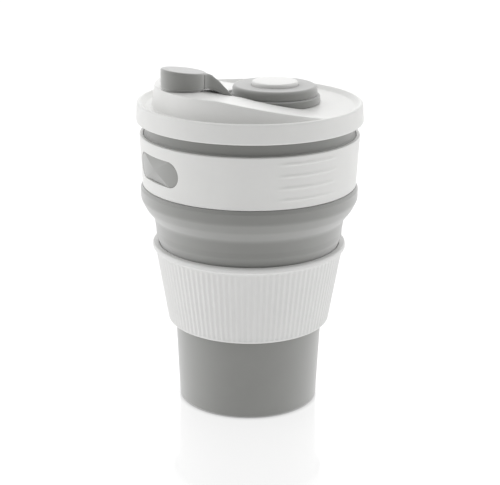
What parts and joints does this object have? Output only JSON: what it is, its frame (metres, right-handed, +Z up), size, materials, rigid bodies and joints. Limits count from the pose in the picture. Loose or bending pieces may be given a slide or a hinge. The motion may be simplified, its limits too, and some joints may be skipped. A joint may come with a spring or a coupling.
{
  "type": "collapsible travel cup",
  "caption": "Folding silicone drinking cup with a rigid collar and ribbed heat sleeve, closed by a domed screw lid with a flip stopper over its drinking hole.",
  "frame": {"origin": "centre of the base's underside, where the cup stands", "axes": "+Z up along the cup's axis; the spout points from the axis towards -X and 26.5 degrees round towards -Y"},
  "size_m": [0.09, 0.09, 0.1392],
  "materials": {
    "white_plastic": "satin moulded polypropylene",
    "sleeve_plastic": "fine vertical ribs, matte",
    "grey_silicone": "matte food-grade silicone",
    "web_silicone": "thin matte silicone, slightly lighter where it folds"
  },
  "bodies": {
    "base": {"base_cup": "grey_silicone"},
    "middle": {"mid_ring": "grey_silicone", "sleeve": "sleeve_plastic", "lower_web": "web_silicone"},
    "upper": {"upper_ring": "grey_silicone", "collar": "white_plastic", "neck_ring": "white_plastic", "upper_web": "web_silicone"},
    "gasket": {"lid_gasket": "grey_silicone"},
    "lid": {"lid_shell": "white_plastic", "stopper_eyelet": "grey_silicone", "grip_disc": "grey_silicone", "rivet_button": "white_plastic", "rivet_washer": "white_plastic"},
    "stopper": {"stopper_flap": "grey_silicone"}
  },
  "joints": [
    {"name": "lower_fold", "type": "slide", "parent": "base", "child": "middle", "axis": [0, 0, -1], "range_m": [0, 0.033], "deforming": ["lower_web"]},
    {"name": "upper_fold", "type": "slide", "parent": "middle", "child": "upper", "axis": [0, 0, -1], "range_m": [0, 0.018], "deforming": ["upper_web"]},
    {"name": "lid_rise", "type": "slide", "parent": "upper", "child": "gasket", "axis": [0, 0, 1], "range_m": [0, 0.012]},
    {"name": "lid_turn", "type": "hinge", "parent": "gasket", "child": "lid", "pos_m": [0, 0, 0.1165], "axis": [0, 0, 1], "range_deg": [0, 720.1]},
    {"name": "stopper_flip", "type": "hinge", "parent": "lid", "child": "stopper", "pos_m": [-0.00743, -0.0037, 0.1252], "axis": [-0.4462, 0.8949, 0], "range_deg": [0, 72]}
  ],
  "couplings": [
    {"joint": "lid_turn", "follows": "lid_rise", "rad_per_m": 1047.2}
  ]
}
